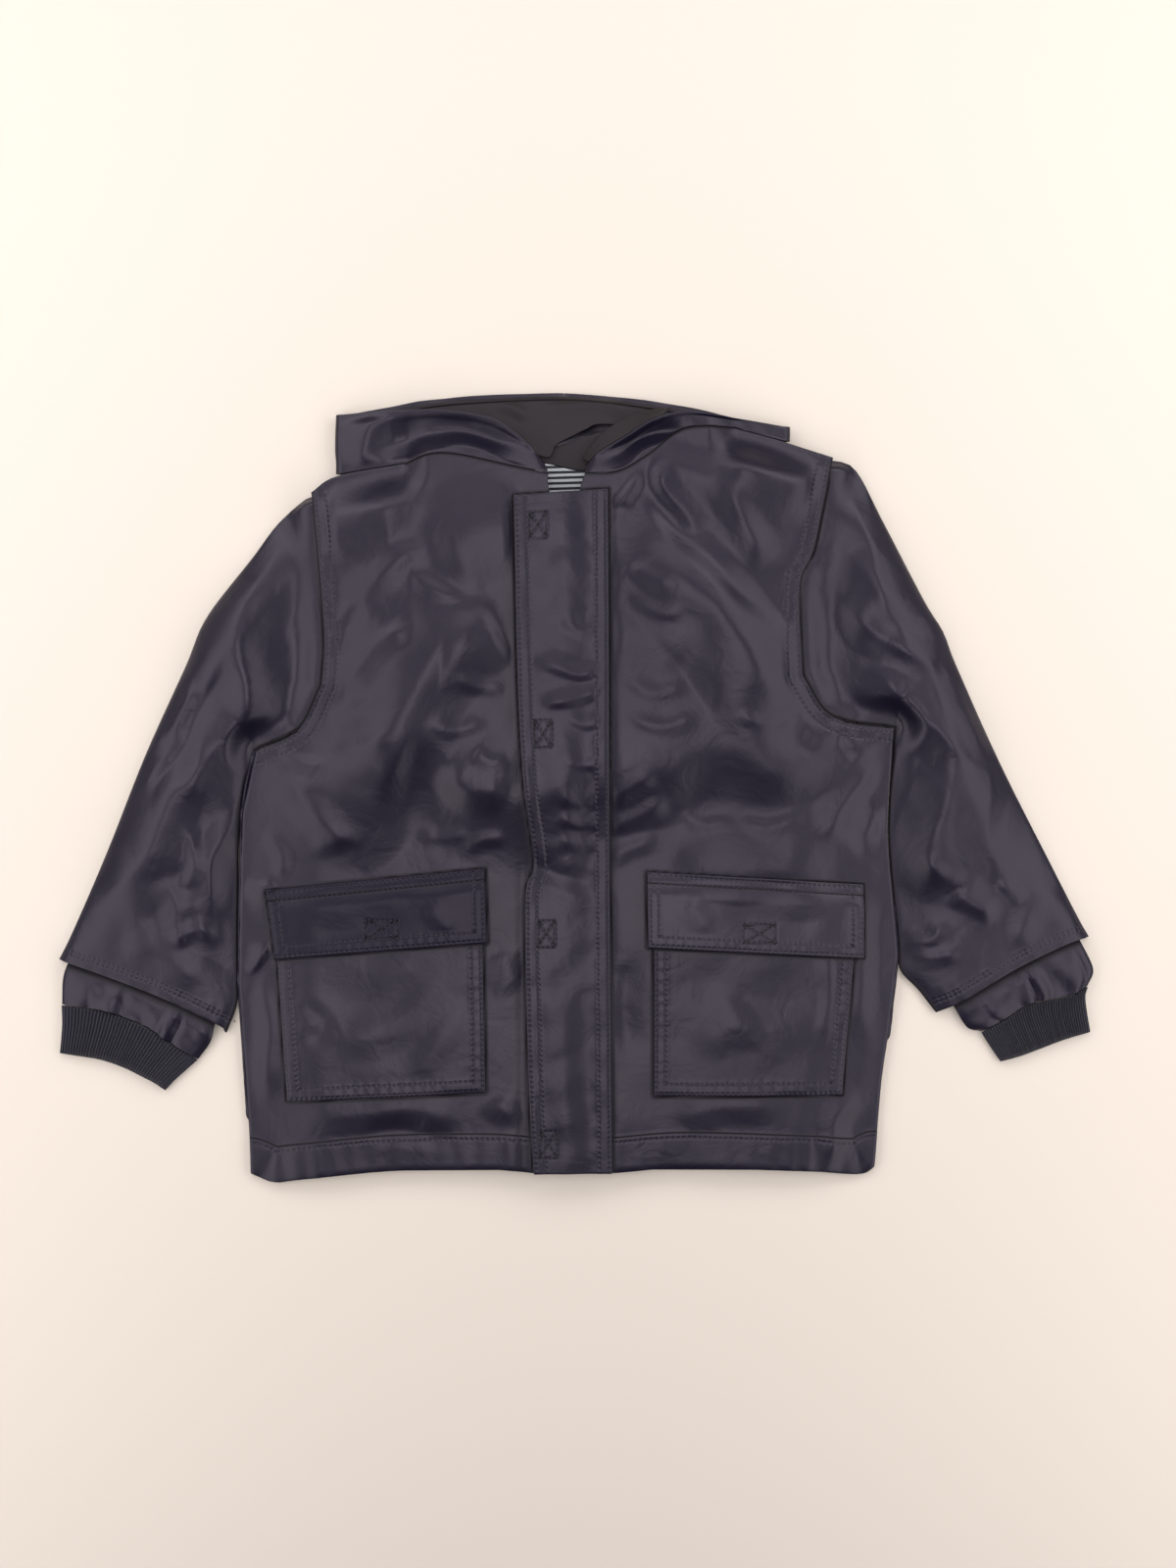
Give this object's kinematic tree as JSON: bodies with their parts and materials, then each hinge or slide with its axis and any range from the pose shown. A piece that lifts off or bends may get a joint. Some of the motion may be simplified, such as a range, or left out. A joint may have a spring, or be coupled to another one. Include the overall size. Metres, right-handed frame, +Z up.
{
  "type": "child's hooded raincoat laid flat",
  "caption": "Child's hooded raincoat laid flat on its back, with a storm flap, flapped patch pockets and ribbed cuffs.",
  "frame": {"origin": "on the table, under the middle of the coat's overall outline", "axes": "+X towards the wearer's left, +Y towards the hood, +Z up off the table"},
  "size_m": [0.6106, 0.4659, 0.0195],
  "materials": {
    "coated_cloth": "dark navy coated cloth with a soft satin sheen",
    "facing_cloth": "brown-black coated cloth, less shiny",
    "striped_jersey": "cotton jersey in fine navy and white stripes",
    "rib_knit": "matt navy rib knit",
    "touch_tape": "matt woven tape"
  },
  "bodies": {
    "root": {"back_panel": "coated_cloth", "front_right": "coated_cloth", "front_left": "coated_cloth", "storm_flap": "coated_cloth", "sleeve_right": "coated_cloth", "sleeve_left": "coated_cloth", "storm_cuff_right": "coated_cloth", "storm_cuff_left": "coated_cloth", "rib_cuff_right": "rib_knit", "rib_cuff_left": "rib_knit", "pocket_right": "coated_cloth", "pocket_left": "coated_cloth", "pocket_flap_right": "coated_cloth", "pocket_flap_left": "coated_cloth", "hood_side_right": "coated_cloth", "hood_side_left": "coated_cloth", "hood_facing": "facing_cloth", "hood_edge_facing": "facing_cloth", "neck_facing": "facing_cloth", "neck_lining": "striped_jersey", "closure_tape_1": "touch_tape", "closure_tape_2": "touch_tape", "closure_tape_3": "touch_tape", "closure_tape_4": "touch_tape", "pocket_tape_right": "touch_tape", "pocket_tape_left": "touch_tape"}
  },
  "joints": []
}
